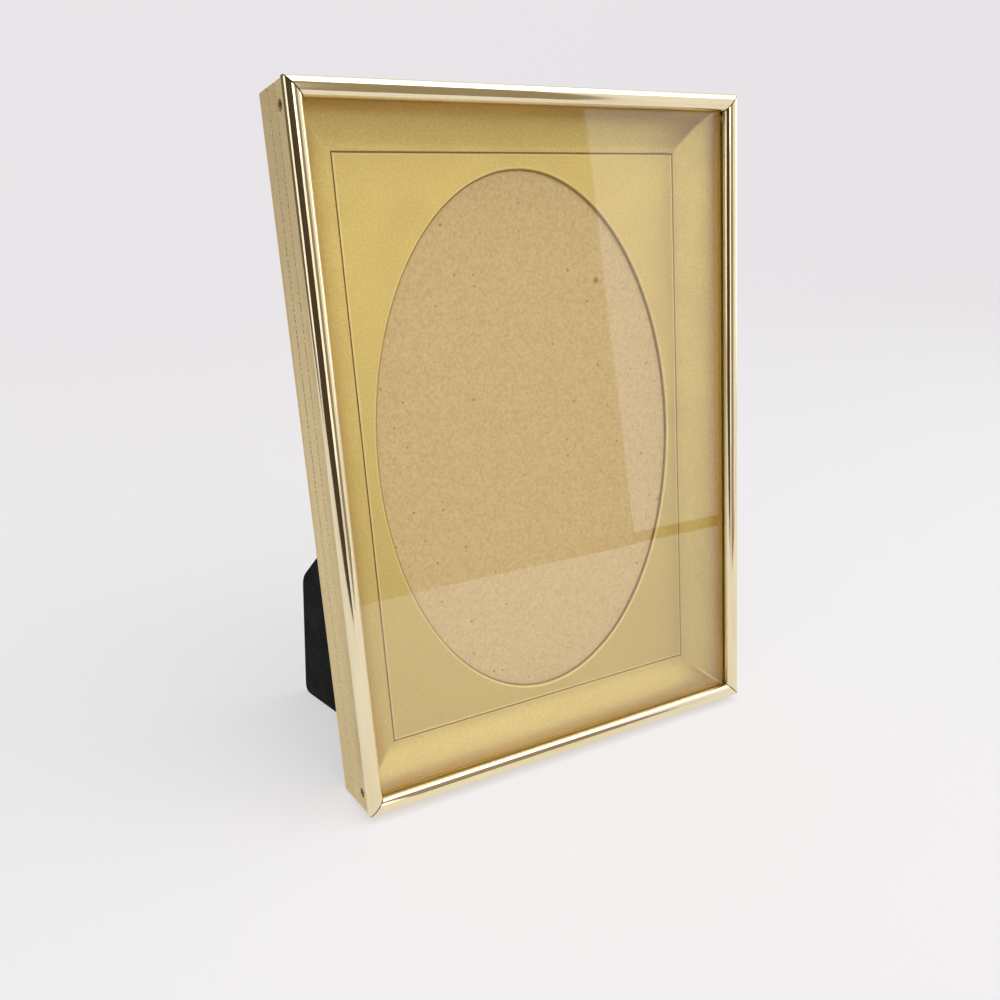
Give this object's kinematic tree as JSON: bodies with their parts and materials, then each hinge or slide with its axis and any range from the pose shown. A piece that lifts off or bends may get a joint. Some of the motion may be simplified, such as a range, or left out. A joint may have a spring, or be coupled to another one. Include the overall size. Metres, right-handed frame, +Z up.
{
  "type": "picture frame",
  "caption": "Free-standing picture frame with mitred beaded metal rails, glass, a coved mat with an oval opening, and a back held by turn buttons with a hinged easel wing.",
  "frame": {"origin": "middle of the part's box, on the surface that it stands on", "axes": "+X to the viewer's right, +Y from the front to the back, +Z up; the frame leans back towards +Y"},
  "size_m": [0.1328, 0.0796, 0.1845],
  "materials": {
    "rail_metal": "polished",
    "picture_glass": "gloss",
    "gold_mat": "satin",
    "kraft_card": "matte",
    "black_board": "matte",
    "plain_steel": "satin"
  },
  "bodies": {
    "frame": {"rail_left": "rail_metal", "rail_top": "rail_metal", "rail_right": "rail_metal", "rail_bottom": "rail_metal", "corner_key_bottom_left": "plain_steel", "corner_key_top_left": "plain_steel", "corner_key_top_right": "plain_steel", "corner_key_bottom_right": "plain_steel", "glass_pane": "picture_glass", "oval_mat": "gold_mat", "backing_card": "kraft_card", "back_board": "black_board", "button_rivet_upper_left": "plain_steel", "button_rivet_upper_right": "plain_steel", "button_rivet_lower_left": "plain_steel", "button_rivet_lower_right": "plain_steel", "hinge_back_leaf_lower": "plain_steel", "hinge_back_leaf_upper": "plain_steel", "hinge_pin_lower": "plain_steel", "hinge_pin_upper": "plain_steel", "back_leaf_rivet_lower_low": "plain_steel", "back_leaf_rivet_lower_high": "plain_steel", "back_leaf_rivet_upper_low": "plain_steel", "back_leaf_rivet_upper_high": "plain_steel"},
    "wing": {"easel_wing": "black_board", "hinge_wing_leaf_lower": "plain_steel", "hinge_wing_leaf_upper": "plain_steel", "wing_leaf_rivet_lower_low": "plain_steel", "wing_leaf_rivet_lower_high": "plain_steel", "wing_leaf_rivet_upper_low": "plain_steel", "wing_leaf_rivet_upper_high": "plain_steel"},
    "button_upper_left": {"turn_button_upper_left": "plain_steel"},
    "button_upper_right": {"turn_button_upper_right": "plain_steel"},
    "button_lower_left": {"turn_button_lower_left": "plain_steel"},
    "button_lower_right": {"turn_button_lower_right": "plain_steel"}
  },
  "joints": [
    {"name": "wing_hinge", "type": "hinge", "parent": "frame", "child": "wing", "pos_m": [-0.04073, -0.00763, 0.09084], "axis": [0, 0.1357, 0.9907], "range_deg": [-101.6, 0]},
    {"name": "upper_left_button_turn", "type": "hinge", "parent": "frame", "child": "button_upper_left", "pos_m": [-0.05605, -0.0025, 0.13859], "axis": [0, 0.9907, -0.1357], "continuous": true},
    {"name": "upper_right_button_turn", "type": "hinge", "parent": "frame", "child": "button_upper_right", "pos_m": [0.05605, -0.0025, 0.13859], "axis": [0, 0.9907, -0.1357], "continuous": true},
    {"name": "lower_left_button_turn", "type": "hinge", "parent": "frame", "child": "button_lower_left", "pos_m": [-0.05605, -0.01553, 0.04348], "axis": [0, 0.9907, -0.1357], "continuous": true},
    {"name": "lower_right_button_turn", "type": "hinge", "parent": "frame", "child": "button_lower_right", "pos_m": [0.05605, -0.01553, 0.04348], "axis": [0, 0.9907, -0.1357], "continuous": true}
  ]
}
